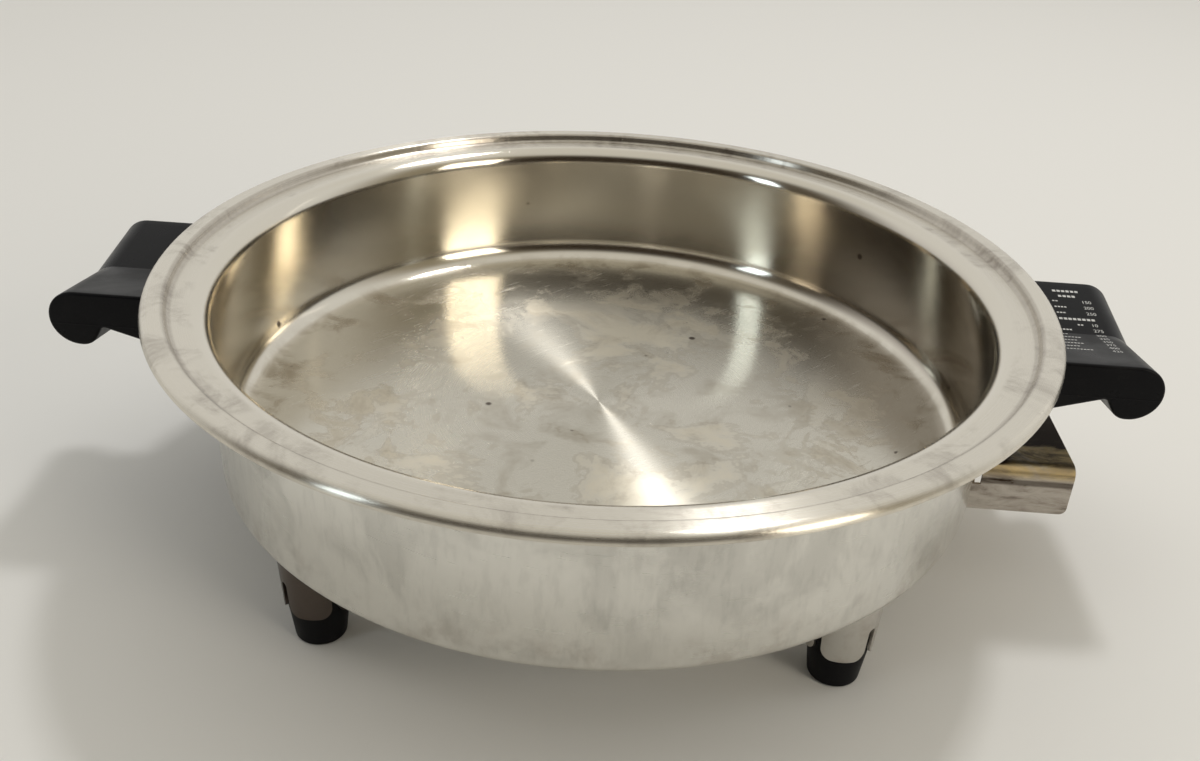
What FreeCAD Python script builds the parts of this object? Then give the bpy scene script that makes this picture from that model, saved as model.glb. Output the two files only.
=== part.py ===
import FreeCAD, Part
import math
import os
import Sketcher
from types import SimpleNamespace
from FreeCAD import Placement, Rotation, Vector

doc = FreeCAD.newDocument("electric_skillet")
sheet = doc.addObject("Spreadsheet::Sheet", "sizes")

# Driving sizes in millimetres and degrees. Z = 0 is the table, the handles lie along X,
# the control plugs in at +X and the middle of the round pan is X = Y = 0.
SIZES = [
    # the drawn pan and its rim
    ("mouth_radius", 139.7, "inside radius of the wall"),
    ("ledge_width", 14.1, "wall out to the step of the rim, with the ledge that a lid sits on"),
    ("flange_width", 8.2, "raised flange outside the step"),
    ("ledge_drop", 3.2, "from the flange down to the ledge"),
    ("lip_drop", 3.2, "turned-down lip at the edge of the rim"),
    ("shoulder_radius", 6.5, "round from the ledge into the wall"),
    ("cook_depth", 57.0, "rim down to the cooking floor"),
    ("floor_corner_radius", 9.5, "inside corner between wall and floor"),
    ("pan_sheet", 1.0, "thickness of the pan's sheet"),
    ("step_flat", 0.1, "flat between the rounds of the step"),
    ("step_slope", 0.6, "half of how far the step leans"),
    # the outer shell
    ("shell_gap", 0.3, "between the pan's wall and the shell's wall"),
    ("shell_sheet", 1.0, "thickness of the shell's sheet"),
    ("shell_tuck", 1.0, "shell's edge above the foot of the pan's shoulder"),
    ("shell_corner_radius", 3.5, "outside corner at the bottom"),
    ("floor_clearance", 36.0, "table up to the underside of the shell"),
    # the heater, cast into its plate
    ("spreader_margin", 1.2, "heat plate's edge inside the foot of the pan's corner"),
    ("heater_cover", 0.25, "plate left above and below the sensor tube"),
    ("element_ring_radius", 95.0, "middle of the heating tube's ring"),
    ("element_tube_radius", 2.6, "heating tube"),
    ("element_bend_radius", 8.0, "bend from the ring into each leg"),
    ("cast_gap", 0.1, "around what is cast into the plate"),
    ("pin_spacing", 25.4, "between the two contact pins"),
    ("pin_radius", 2.4, "contact pin"),
    ("pin_reach", 20.0, "shell wall out to the pin's tip"),
    ("sheath_reach", 4.0, "shell wall out to the end of the heating tube"),
    ("tip_round", 1.0, "round at the pin's tip"),
    ("bush_radius", 3.2, "ceramic bush round each leg"),
    ("bush_inner_reach", 2.5, "bush inside the shell"),
    ("bush_outer_reach", 2.5, "bush outside the shell"),
    ("well_bore_radius", 2.5, "bore that the temperature sensor slides into"),
    ("well_wall", 0.5, "wall of the sensor tube"),
    ("well_depth", 70.0, "length of the sensor tube's bore"),
    ("well_reach", 5.0, "sensor tube outside the shell"),
    ("well_collar", 1.6, "flared collar of the sensor tube, beyond its wall"),
    ("well_collar_length", 1.5, "thickness of the collar"),
    # the guard over the socket
    ("guard_width", 76.0, "guard across the socket"),
    ("guard_rise", 16.6, "underside of the shell up to the guard's top"),
    ("guard_skirt", 2.5, "underside of the shell down to the guard's lower edge"),
    ("guard_reach", 30.5, "shell wall out to the guard's end"),
    ("guard_sheet", 1.0, "thickness of the guard's sheet"),
    ("guard_bend_radius", 4.2, "outside of the guard's bends"),
    ("guard_corner_radius", 2.6, "lower outer corners of the guard's sides"),
    ("guard_relief", 3.3, "bend relief beside the wall"),
    ("guard_relief_depth", 8.5, "bend relief down from the guard's top"),
    ("guard_flange_width", 7.0, "welded flange of the guard along the wall"),
    # the handles
    ("handle_half_width", 34.5, "middle of a handle to its ear"),
    ("handle_top_drop", 8.0, "rim down to the top of an ear"),
    ("handle_crease_drop", 5.4, "how far the middle crease lies below the ears"),
    ("grip_reach", 43.5, "shell wall out to the middle of the rolled grip"),
    ("grip_radius", 10.4, "rolled grip at the end of a handle"),
    ("neck_thickness", 13.1, "handle beside the grip"),
    ("neck_reach", 35.0, "shell wall out to the thin neck"),
    ("grip_heel", 3.8, "grip's middle to where its inner side leaves its underside"),
    ("neck_round", 2.0, "hollow round beside the grip"),
    ("root_thickness", 24.9, "handle where it meets the wall"),
    ("handle_edge_radius", 1.2, "edges of a handle's sides"),
    ("handle_wall_gap", 0.3, "between a handle's root and the shell"),
    # what holds a handle
    ("bracket_width", 40.0, "steel bracket inside a handle's root"),
    ("bracket_sheet", 2.5, "thickness of the bracket"),
    ("bracket_margin", 11.5, "tongue's end beyond its screws"),
    ("bracket_drop", 20.3, "rim down to the top of the tongue"),
    ("bracket_foot", 11.0, "height of the plate welded to the wall"),
    ("bracket_gap", 0.3, "round the bracket inside the handle"),
    ("screw_reach", 14.5, "shell wall out to the screws"),
    ("screw_spacing", 24.0, "between a handle's two screws"),
    ("screw_radius", 2.0, "screw shank"),
    ("screw_head_radius", 3.7, "screw head"),
    ("screw_head_height", 2.4, "screw head"),
    ("screw_head_round", 0.8, "round of a screw head"),
    ("screw_grip", 4.4, "handle left between the bracket and the screw heads"),
    ("hole_gap", 0.2, "round a screw or stud in its hole"),
    # the legs
    ("leg_inset", 15.0, "shell wall in to the middle of a leg"),
    ("leg_angle", 46.4, "degrees from the handles' line to a leg"),
    ("ferrule_top_radius", 12.6, "outside of the tapered ferrule at the shell"),
    ("ferrule_end_radius", 11.4, "outside of the ferrule at its petals' ends"),
    ("ferrule_length", 22.3, "shell down to the petals' ends"),
    ("ferrule_sheet", 1.0, "thickness of the ferrule"),
    ("slot_width", 2.8, "slot between two petals"),
    ("slot_length", 12.8, "slot from the petals' ends up"),
    ("petal_corner_radius", 4.0, "rounded corner of a petal"),
    ("foot_gap", 0.2, "between a foot and its ferrule"),
    ("foot_end_radius", 8.6, "foot where it meets the table"),
    ("foot_edge_radius", 1.4, "round at the foot's lower edge"),
    ("foot_top_round", 1.0, "round at the foot's upper edge"),
    ("stud_radius", 2.4, "threaded stud in a foot"),
    ("nut_seat", 12.0, "table up to the seat of the nut"),
    ("nut_width", 8.0, "nut across its flats"),
    ("nut_height", 3.6, "nut"),
    ("stud_spare", 1.5, "stud showing below the nut"),
    ("nut_recess_radius", 5.4, "recess for the nut in a foot"),
]

for row, (alias, value, meaning) in enumerate(SIZES, start=1):
    sheet.set(f"A{row}", alias)
    sheet.set(f"B{row}", str(value))
    sheet.set(f"C{row}", meaning)
    sheet.setAlias(f"B{row}", alias)
doc.recompute()


class Size:
    """A length that carries both its value and its expression on the sheet."""

    def __init__(self, value, text):
        self.value = value
        self.text = text

    def __add__(self, other):
        return Size(self.value + number(other), f"({self.text} + {text_of(other)})")

    def __sub__(self, other):
        return Size(self.value - number(other), f"({self.text} - {text_of(other)})")

    def __mul__(self, other):
        return Size(self.value * number(other), f"({self.text} * {text_of(other)})")

    def __truediv__(self, other):
        return Size(self.value / number(other), f"({self.text} / {text_of(other)})")

    def __neg__(self):
        return Size(-self.value, f"(0 - {self.text})")

    def root(self):
        """The square root."""
        return Size(math.sqrt(self.value), f"sqrt({self.text})")

    def cosine(self):
        """The cosine of an angle in degrees."""
        return Size(math.cos(math.radians(self.value)), f"cos({self.text})")

    def sine(self):
        """The sine of an angle in degrees."""
        return Size(math.sin(math.radians(self.value)), f"sin({self.text})")


def number(item):
    """The value of a size or of a plain number."""
    return item.value if isinstance(item, Size) else float(item)


def text_of(item):
    """The expression of a size or of a plain number."""
    return item.text if isinstance(item, Size) else str(item)


s = SimpleNamespace(**{alias: Size(value, f"sizes.{alias}") for alias, value, meaning in SIZES})

# Heights and radii that several pieces share.
well_radius = s.well_bore_radius + s.well_wall
shell_floor = s.floor_clearance + s.shell_sheet
heater_height = shell_floor + s.heater_cover + well_radius
pan_underside = heater_height + well_radius + s.heater_cover
rim_top = pan_underside + s.pan_sheet + s.cook_depth
rim_radius = s.mouth_radius + s.ledge_width + s.flange_width
shell_radius = s.mouth_radius + s.pan_sheet + s.shell_gap + s.shell_sheet
screw_place = shell_radius + s.screw_reach
bracket_low = rim_top - s.bracket_drop - s.bracket_foot
tongue_low = rim_top - s.bracket_drop - s.bracket_sheet
screw_seat = tongue_low - s.bracket_gap - s.screw_grip


def bind(item, **sizes):
    """Bind an object's properties to sizes; two underscores in a name stand for a dot."""
    for name, length in sizes.items():
        item.setExpression(name.replace("__", "."), text_of(length))
    return item


def place(item, x=0, y=0, z=0):
    """Bind an object's place to sizes."""
    return bind(item, Placement__Base__x=x, Placement__Base__y=y, Placement__Base__z=z)


def cylinder(name, radius, length, x=0, y=0, z=0):
    """An upright cylinder from its lower face."""
    return place(bind(doc.addObject("Part::Cylinder", name), Radius=radius, Height=length), x, y, z)


def bar(name, radius, length, x=0, y=0, z=0):
    """A cylinder that runs out along X from its inner face."""
    item = doc.addObject("Part::Cylinder", name)
    item.Placement = Placement(Vector(), Rotation(Vector(0, 1, 0), 90))
    return place(bind(item, Radius=radius, Height=length), x, y, z)


def box(name, length, width, height, x=0, y=0, z=0):
    """A box from its low corner."""
    item = bind(doc.addObject("Part::Box", name), Length=length, Width=width, Height=height)
    return place(item, x, y, z)


def cut(name, base, tool):
    """One shape less another."""
    item = doc.addObject("Part::Cut", name)
    item.Base = base
    item.Tool = tool
    return item


def joined(name, *items):
    """Shapes fused into one, or kept as separate solids where they don't touch."""
    item = doc.addObject("Part::MultiFuse", name)
    item.Shapes = list(items)
    return item


def shared(name, *items):
    """The space that shapes have in common."""
    item = doc.addObject("Part::MultiCommon", name)
    item.Shapes = list(items)
    return item


def edges_where(item, test):
    """The numbers of an object's edges that pass a test."""
    doc.recompute()
    return [index for index, edge in enumerate(item.Shape.Edges, start=1) if test(edge)]


def softened(name, base, kind, length, test):
    """A shape with some of its edges rounded or bevelled by a driving size."""
    item = doc.addObject(kind, name)
    item.Base = base
    item.Edges = [(index, length.value, length.value) for index in edges_where(base, test)]
    return item


def corner_round(before, corner, after, radius):
    """Where a round leaves its two sides, and its middle, at a corner."""
    back = (before - corner).normalize()
    ahead = (after - corner).normalize()
    half = back.getAngle(ahead) / 2
    middle = corner + (back + ahead).normalize() * (radius / math.sin(half))
    return corner + back * (radius / math.tan(half)), middle, corner + ahead * (radius / math.tan(half))


def outline(body, role, name, corners):
    """A closed, fully fixed sketch on a body's own plane, from (across, up, round) corners.

    Every corner is placed from the origin and every round is tangent to both its sides,
    and all of those dimensions follow the sheet.
    """
    item = body.newObject("Sketcher::SketchObject", name)
    plane = next(feature for feature in body.Origin.OriginFeatures if feature.Role == role)
    item.AttachmentSupport = [(plane, "")]
    item.MapMode = "FlatFace"
    places = [Vector(number(across), number(up), 0) for across, up, radius in corners]
    count = len(corners)
    arrive = list(places)
    leave = list(places)
    middles = {}
    for index, (across, up, radius) in enumerate(corners):
        if number(radius) > 0:
            arrive[index], middles[index], leave[index] = corner_round(
                places[index - 1], places[index], places[(index + 1) % count], number(radius))
    for index in range(count):
        item.addGeometry(Part.LineSegment(leave[index], arrive[(index + 1) % count]), False)

    def fix(kind, geometry, length, *position):
        """Add a dimension and bind it."""
        row = item.addConstraint(Sketcher.Constraint(kind, geometry, *position, number(length)))
        if isinstance(length, Size):
            item.setExpression(f"Constraints[{row}]", length.text)

    for index, (across, up, radius) in enumerate(corners):
        before = (index - 1) % count
        if index not in middles:
            item.addConstraint(Sketcher.Constraint("Coincident", before, 2, index, 1))
            fix("DistanceX", index, across, 1)
            fix("DistanceY", index, up, 1)
            continue
        start = arrive[index] - middles[index]
        end = leave[index] - middles[index]
        turns_left = start.cross(end).z > 0
        first, last = (start, end) if turns_left else (end, start)
        low = math.atan2(first.y, first.x)
        high = low + first.getAngle(last)
        circle = Part.Circle(middles[index], Vector(0, 0, 1), number(radius))
        arc = item.addGeometry(Part.ArcOfCircle(circle, low, high), False)
        corner = item.addGeometry(Part.Point(places[index]), True)
        item.addConstraint(Sketcher.Constraint("Tangent", before, 2, arc, 1 if turns_left else 2))
        item.addConstraint(Sketcher.Constraint("Tangent", index, 1, arc, 2 if turns_left else 1))
        item.addConstraint(Sketcher.Constraint("PointOnObject", corner, 1, before))
        item.addConstraint(Sketcher.Constraint("PointOnObject", corner, 1, index))
        fix("Radius", arc, radius)
        fix("DistanceX", corner, across, 1)
        fix("DistanceY", corner, up, 1)
    return item


def revolved(label, corners):
    """A body turned about Z from an outline of (radius, height, round) corners."""
    body = doc.addObject("PartDesign::Body", label)
    profile = outline(body, "XZ_Plane", label + "_outline", corners)
    turn = body.newObject("PartDesign::Revolution", label + "_turn")
    turn.Profile = profile
    turn.ReferenceAxis = (profile, ["V_Axis"])
    turn.Angle = 360
    return body


def padded(label, role, corners, length, slant=None):
    """A body padded from an outline, straight or along a slant to the same depth."""
    body = doc.addObject("PartDesign::Body", label)
    pad = body.newObject("PartDesign::Pad", label + "_pad")
    pad.Profile = outline(body, role, label + "_outline", corners)
    if slant:
        pad.UseCustomVector = True
        pad.Direction = Vector(*[number(part) for part in slant])
        pad.AlongSketchNormal = True
    return bind(pad, Length=length) and body


def cooking_pan():
    """The drawn pan: floor, wall, ledge, raised flange and turned-down lip in one sheet."""
    wall = s.mouth_radius
    floor = rim_top - s.cook_depth
    ledge = rim_top - s.ledge_drop
    flange = s.mouth_radius + s.ledge_width
    step_round = s.ledge_drop / 2 - s.step_flat
    lip_round = s.lip_drop - s.step_flat * 2
    return revolved("cooking_pan", [
        (0, floor, 0),
        (wall, floor, s.floor_corner_radius),
        (wall, ledge, s.shoulder_radius),
        (flange - s.step_slope, ledge, step_round - s.pan_sheet / 2),
        (flange + s.step_slope, rim_top, step_round),
        (rim_radius, rim_top, lip_round),
        (rim_radius, rim_top - s.lip_drop, 0),
        (rim_radius - s.pan_sheet, rim_top - s.lip_drop, 0),
        (rim_radius - s.pan_sheet, rim_top - s.pan_sheet, lip_round - s.pan_sheet),
        (flange + s.step_slope + s.pan_sheet, rim_top - s.pan_sheet, step_round - s.pan_sheet / 2),
        (flange - s.step_slope + s.pan_sheet, ledge - s.pan_sheet, step_round),
        (wall + s.pan_sheet, ledge - s.pan_sheet, s.shoulder_radius - s.pan_sheet),
        (wall + s.pan_sheet, floor - s.pan_sheet, s.floor_corner_radius + s.pan_sheet),
        (0, floor - s.pan_sheet, 0),
    ])


def outer_shell():
    """The outer cup under the pan, with holes for the two legs and the sensor tube."""
    inner = shell_radius - s.shell_sheet
    top = rim_top - s.ledge_drop - s.shoulder_radius + s.shell_tuck
    blank = revolved("shell_blank", [
        (0, s.floor_clearance, 0),
        (shell_radius, s.floor_clearance, s.shell_corner_radius),
        (shell_radius, top, 0),
        (inner, top, 0),
        (inner, shell_floor, s.shell_corner_radius - s.shell_sheet),
        (0, shell_floor, 0),
    ])
    holes = []
    for index, (side, radius) in enumerate((
            (-s.pin_spacing / 2, s.bush_radius),
            (s.pin_spacing / 2, s.bush_radius),
            (0, well_radius))):
        holes.append(bar(f"shell_hole_{index}", radius, s.shell_sheet * 6,
                         shell_radius - s.shell_sheet * 4, side, heater_height))
    return cut("outer_shell", blank, joined("shell_holes", *holes))


def element_path():
    """The heating tube's run: leg, bend, ring, bend, leg, level at the heater's height."""
    ring = s.element_ring_radius.value
    bend = s.element_bend_radius.value
    side = s.pin_spacing.value / 2
    end = (shell_radius + s.sheath_reach).value
    middle = Vector(math.sqrt((ring + bend) ** 2 - (side + bend) ** 2), side + bend, 0)
    meet = middle * (ring / (ring + bend))
    crown = middle + ((meet - middle) + Vector(0, -bend, 0)).normalize() * bend
    leg_end = Vector(end, side, 0)
    leg_start = Vector(middle.x, side, 0)

    def at(point, mirror=1):
        return Vector(point.x, point.y * mirror, heater_height.value)

    return Part.Wire([
        Part.LineSegment(at(leg_end), at(leg_start)).toShape(),
        Part.Arc(at(leg_start), at(crown), at(meet)).toShape(),
        Part.Arc(at(meet), at(Vector(-ring, 0, 0)), at(meet, -1)).toShape(),
        Part.Arc(at(meet, -1), at(crown, -1), at(leg_start, -1)).toShape(),
        Part.LineSegment(at(leg_start, -1), at(leg_end, -1)).toShape(),
    ])


def tube_along(name, path, radius):
    """A round bar swept along a path that starts out along X."""
    profile = Part.Wire([Part.Circle(path.Vertexes[0].Point, Vector(1, 0, 0), radius.value).toShape()])
    item = doc.addObject("Part::Feature", name)
    item.Shape = path.makePipeShell([profile], True, False)
    return item


def heat_plate():
    """The aluminium plate between pan and shell, cast round the heating tube and sensor tube."""
    path = element_path()
    element = tube_along("heating_element", path, s.element_tube_radius)
    channel = tube_along("element_channel", path, s.element_tube_radius + s.cast_gap)
    start = shell_radius + s.well_reach - s.well_depth
    plate = cylinder("spreader_blank", s.mouth_radius - s.floor_corner_radius - s.spreader_margin,
                     pan_underside - shell_floor, 0, 0, shell_floor)
    socket = bar("well_channel", well_radius + s.cast_gap, s.well_depth, start - s.well_wall * 2, 0,
                 heater_height)
    spreader = cut("heat_spreader", plate, joined("cast_channels", channel, socket))
    tube = bar("well_tube", well_radius, s.well_depth + s.well_wall, start - s.well_wall, 0, heater_height)
    collar = bar("well_flare", well_radius + s.well_collar, s.well_collar_length, shell_radius, 0,
                 heater_height)
    bore = bar("well_bore", s.well_bore_radius, s.well_depth, start, 0, heater_height)
    return [spreader, element, cut("sensor_well", joined("well_outside", tube, collar), bore)]


def terminals():
    """The two contact pins at the heating tube's ends, and the ceramic bushes round its legs."""
    pins = []
    bushes = []
    tip = shell_radius + s.pin_reach
    bush_start = shell_radius - s.shell_sheet - s.bush_inner_reach
    bush_length = s.bush_inner_reach + s.shell_sheet + s.bush_outer_reach
    for index, side in enumerate((-s.pin_spacing / 2, s.pin_spacing / 2)):
        pin = bar(f"pin_{index}", s.pin_radius, s.pin_reach - s.sheath_reach,
                  shell_radius + s.sheath_reach, side, heater_height)
        pins.append(softened(f"pin_tip_{index}", pin, "Part::Chamfer", s.tip_round,
                             lambda edge: edge.BoundBox.XMin > tip.value - 0.01))
        outside = bar(f"bush_body_{index}", s.bush_radius, bush_length, bush_start, side, heater_height)
        inside = bar(f"bush_bore_{index}", s.element_tube_radius, bush_length * 3,
                     bush_start - bush_length, side, heater_height)
        bushes.append(cut(f"bush_{index}", outside, inside))
    return [joined("contact_pins", *pins), joined("terminal_bushes", *bushes)]


def probe_guard():
    """The bent sheet over the socket: top, two sides, relieved bends and welded flanges."""
    half = s.guard_width / 2
    top = s.floor_clearance + s.guard_rise
    bottom = s.floor_clearance - s.guard_skirt
    end = shell_radius + s.guard_reach
    inner_bend = s.guard_bend_radius - s.guard_sheet
    channel = padded("guard_channel", "YZ_Plane", [
        (-half, bottom, 0),
        (-half, top, s.guard_bend_radius),
        (half, top, s.guard_bend_radius),
        (half, bottom, 0),
        (half - s.guard_sheet, bottom, 0),
        (half - s.guard_sheet, top - s.guard_sheet, inner_bend),
        (-half + s.guard_sheet, top - s.guard_sheet, inner_bend),
        (-half + s.guard_sheet, bottom, 0),
    ], end)
    corners = softened("guard_corners", channel, "Part::Fillet", s.guard_corner_radius,
                       lambda edge: edge.BoundBox.XMin > end.value - 0.01
                       and edge.BoundBox.ZMax < bottom.value + 0.01)

    # the bends stop short of the wall; only the lower part of each side runs up to it
    wall_x = (shell_radius * shell_radius - half * half).root()
    relief_end = wall_x + s.guard_relief
    reliefs = [box(f"guard_relief_{index}", relief_end, s.guard_bend_radius * 2, s.guard_relief_depth * 2,
                   0, side - s.guard_bend_radius, top - s.guard_relief_depth)
               for index, side in enumerate((-half, half))]
    flange_low = s.floor_clearance + s.shell_corner_radius
    flange_height = top - s.guard_relief_depth - flange_low
    ring = cylinder("flange_ring", shell_radius + s.guard_sheet, flange_height, 0, 0, flange_low)
    flanges = [shared(f"guard_flange_{index}", ring,
                      box(f"guard_flange_box_{index}", shell_radius + s.guard_sheet, s.guard_flange_width,
                          flange_height, 0, side, flange_low))
               for index, side in enumerate((-half, half - s.guard_flange_width))]
    wall = cylinder("guard_wall_space", shell_radius, rim_top, 0, 0, 0)
    relieved = cut("guard_relieved", corners, joined("guard_reliefs", *reliefs))
    return cut("probe_guard", joined("guard_sheets", relieved, *flanges), wall)


def handle(label, turn):
    """A moulded handle: two wings, rounded edges, a root cut to the wall and its recesses."""
    crease_top = rim_top - s.handle_top_drop - s.handle_crease_drop
    grip = shell_radius + s.grip_reach
    end = grip + s.grip_radius
    grip_round = s.grip_radius - s.cast_gap
    # the side view at the crease; it starts inside the wall, which is cut away afterwards
    root = shell_radius - s.shell_sheet * 4
    side_view = [
        (root, crease_top, 0),
        (end, crease_top, grip_round),
        (end, crease_top - s.grip_radius * 2, grip_round),
        (grip - s.grip_heel, crease_top - s.grip_radius * 2, s.grip_radius * 0.6),
        (shell_radius + s.neck_reach, crease_top - s.neck_thickness, s.neck_round),
        (root, crease_top - s.root_thickness, 0),
    ]
    wings = [padded(f"{label}_wing_{index}", "XZ_Plane", side_view, s.handle_half_width,
                    (0, side * s.handle_half_width.value, s.handle_crease_drop.value))
             for index, side in enumerate((-1, 1))]
    blank = joined(label + "_wings", *wings)
    blank.Refine = True
    rounded = softened(label + "_rounded", blank, "Part::Fillet", s.handle_edge_radius,
                       lambda edge: abs(edge.CenterOfMass.y) > s.handle_half_width.value - 0.01
                       and edge.BoundBox.XMax > shell_radius.value)

    gap = s.bracket_gap
    wide = s.bracket_width + gap * 2
    wall = cylinder(label + "_wall_space", shell_radius + s.handle_wall_gap, rim_top, 0, 0, 0)
    slot = box(label + "_slot", screw_place + s.bracket_margin + gap, wide, s.bracket_sheet + gap * 2,
               0, -wide / 2, tongue_low - gap)
    seat = shared(label + "_seat",
                  cylinder(label + "_seat_round", shell_radius + s.bracket_sheet + gap,
                           s.bracket_foot + gap * 2, 0, 0, bracket_low - gap),
                  box(label + "_seat_box", rim_radius, wide, s.bracket_foot + gap * 2,
                      0, -wide / 2, bracket_low - gap))
    holes = []
    for index, side in enumerate((-s.screw_spacing / 2, s.screw_spacing / 2)):
        holes.append(cylinder(f"{label}_screw_hole_{index}", s.screw_radius + s.hole_gap,
                              rim_top - s.bracket_drop, screw_place, side, 0))
        holes.append(cylinder(f"{label}_head_recess_{index}", s.screw_head_radius + s.hole_gap * 2,
                              screw_seat, screw_place, side, 0))
    finished = cut(label, rounded, joined(label + "_recesses", wall, slot, seat, *holes))
    finished.Placement = Placement(Vector(), Rotation(Vector(0, 0, 1), turn))
    return finished


def handle_bracket(label, turn):
    """A steel tongue with two tapped holes, on a plate welded to the shell's wall."""
    side = -s.bracket_width / 2
    tongue = box(label + "_tongue", screw_place + s.bracket_margin, s.bracket_width, s.bracket_sheet,
                 0, side, tongue_low)
    plate = shared(label + "_plate",
                   cylinder(label + "_plate_round", shell_radius + s.bracket_sheet, s.bracket_foot,
                            0, 0, bracket_low),
                   box(label + "_plate_box", rim_radius, s.bracket_width, s.bracket_foot,
                       0, side, bracket_low))
    wall = cylinder(label + "_wall_space", shell_radius, rim_top, 0, 0, 0)
    holes = [cylinder(f"{label}_hole_{index}", s.screw_radius, rim_top, screw_place, across, 0)
             for index, across in enumerate((-s.screw_spacing / 2, s.screw_spacing / 2))]
    finished = cut(label, joined(label + "_blank", tongue, plate),
                   joined(label + "_removed", wall, *holes))
    finished.Placement = Placement(Vector(), Rotation(Vector(0, 0, 1), turn))
    return finished


def handle_screws():
    """Four screws, driven from below through the handles into the brackets."""
    screws = []
    head_low = screw_seat - s.screw_head_height
    for index, (sign_x, sign_y) in enumerate(((1, 1), (1, -1), (-1, 1), (-1, -1))):
        x = screw_place * sign_x
        y = s.screw_spacing * sign_y / 2
        shank = cylinder(f"screw_shank_{index}", s.screw_radius, rim_top - s.bracket_drop - screw_seat,
                         x, y, screw_seat)
        head = cylinder(f"screw_head_{index}", s.screw_head_radius, s.screw_head_height, x, y, head_low)
        crown = softened(f"screw_crown_{index}", head, "Part::Fillet", s.screw_head_round,
                         lambda edge: edge.BoundBox.ZMax < head_low.value + 0.01)
        screws.append(joined(f"screw_{index}", shank, crown))
    return joined("handle_screws", *screws)


LEGS = {"front_right": (1, -1), "front_left": (-1, -1), "back_right": (1, 1), "back_left": (-1, 1)}


def leg_place(name):
    """Where a leg stands."""
    sign_x, sign_y = LEGS[name]
    reach = shell_radius - s.leg_inset
    return reach * s.leg_angle.cosine() * sign_x, reach * s.leg_angle.sine() * sign_y


def ferrule(name):
    """A tapered sheet cup, slotted into four petals with rounded ends."""
    label = "leg_ferrule_" + name
    top = s.floor_clearance
    end = top - s.ferrule_length
    hole = s.stud_radius + s.hole_gap
    body = revolved(label, [
        (hole, top, 0),
        (s.ferrule_top_radius, top, s.ferrule_sheet),
        (s.ferrule_end_radius, end, 0),
        (s.ferrule_end_radius - s.ferrule_sheet, end, 0),
        (s.ferrule_top_radius - s.ferrule_sheet, top - s.ferrule_sheet, 0),
        (hole, top - s.ferrule_sheet, 0),
    ])
    half = s.slot_width / 2
    outside = half + s.petal_corner_radius * 2
    below = end - s.ferrule_sheet
    pocket = body.newObject("PartDesign::Pocket", label + "_pocket")
    pocket.Profile = outline(body, "XZ_Plane", label + "_slot", [
        (-outside, below, 0),
        (-outside, end, 0),
        (-half, end, s.petal_corner_radius),
        (-half, end + s.slot_length, half - s.cast_gap),
        (half, end + s.slot_length, half - s.cast_gap),
        (half, end, s.petal_corner_radius),
        (outside, end, 0),
        (outside, below, 0),
    ])
    pocket.Midplane = True
    bind(pocket, Length=s.ferrule_top_radius * 4)
    petals = body.newObject("PartDesign::PolarPattern", label + "_petals")
    petals.Originals = [pocket]
    axis = next(feature for feature in body.Origin.OriginFeatures if feature.Role == "Z_Axis")
    petals.Axis = (axis, [""])
    petals.Angle = 90
    petals.Occurrences = 2
    body.Tip = petals
    body.Placement = Placement(Vector(), Rotation(Vector(0, 0, 1), 45))
    return place(body, *leg_place(name))


def foot(name):
    """A moulded foot in its ferrule, bored for the stud and recessed for the nut."""
    top = s.floor_clearance - s.ferrule_sheet
    end = s.floor_clearance - s.ferrule_length
    hole = s.stud_radius + s.hole_gap
    body = revolved("foot_" + name, [
        (hole, top, 0),
        (s.ferrule_top_radius - s.ferrule_sheet - s.foot_gap * 2, top, s.foot_top_round),
        (s.ferrule_end_radius - s.ferrule_sheet - s.foot_gap, end, 0),
        (s.foot_end_radius, 0, s.foot_edge_radius),
        (s.nut_recess_radius, 0, s.foot_top_round / 2),
        (s.nut_recess_radius, s.nut_seat, 0),
        (hole, s.nut_seat, 0),
    ])
    return place(body, *leg_place(name))


def leg_fasteners():
    """The threaded studs under the shell and the nuts that hold the feet on them."""
    studs = []
    nuts = []
    nut_low = s.nut_seat - s.nut_height
    for name in LEGS:
        x, y = leg_place(name)
        studs.append(cylinder(name + "_stud", s.stud_radius, s.floor_clearance - nut_low + s.stud_spare,
                              x, y, nut_low - s.stud_spare))
        hexagon = doc.addObject("Part::Prism", name + "_hexagon")
        hexagon.Polygon = 6
        place(bind(hexagon, Circumradius=s.nut_width / math.sqrt(3), Height=s.nut_height), x, y, nut_low)
        thread = cylinder(name + "_thread", s.stud_radius, s.floor_clearance, x, y, 0)
        nuts.append(cut(name + "_nut", hexagon, thread))
    return [joined("foot_studs", *studs), joined("foot_nuts", *nuts)]


parts = [cooking_pan(), outer_shell(), *heat_plate(), *terminals(), probe_guard()]
parts += [handle("handle_right", 0), handle("handle_left", 180)]
parts += [handle_bracket("handle_bracket_right", 0), handle_bracket("handle_bracket_left", 180)]
parts += [handle_screws(), *leg_fasteners()]
for leg in LEGS:
    parts += [ferrule(leg), foot(leg)]
doc.recompute()

for item in doc.Objects:
    if "Invalid" in item.State or "Error" in item.State:
        raise RuntimeError(f"{item.Label} did not build: {item.State}")

os.makedirs("parts", exist_ok=True)
for item in parts:
    if item.Shape.isNull() or not item.Shape.isValid():
        raise RuntimeError(f"{item.Label} has no valid shape")
    item.Shape.exportStep(f"parts/{item.Label}.step")
    limits = item.Shape.BoundBox
    print(f"{item.Label}: {len(item.Shape.Solids)} solid(s), volume {item.Shape.Volume:.0f} mm3, "
          f"z {limits.ZMin:.1f} to {limits.ZMax:.1f}")
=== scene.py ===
"""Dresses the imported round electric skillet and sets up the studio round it."""

import logging
import math
from dataclasses import dataclass, field
from enum import Enum
from typing import Any, Iterable, Sequence

import bmesh
import bpy
from mathutils import Matrix, Vector


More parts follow.
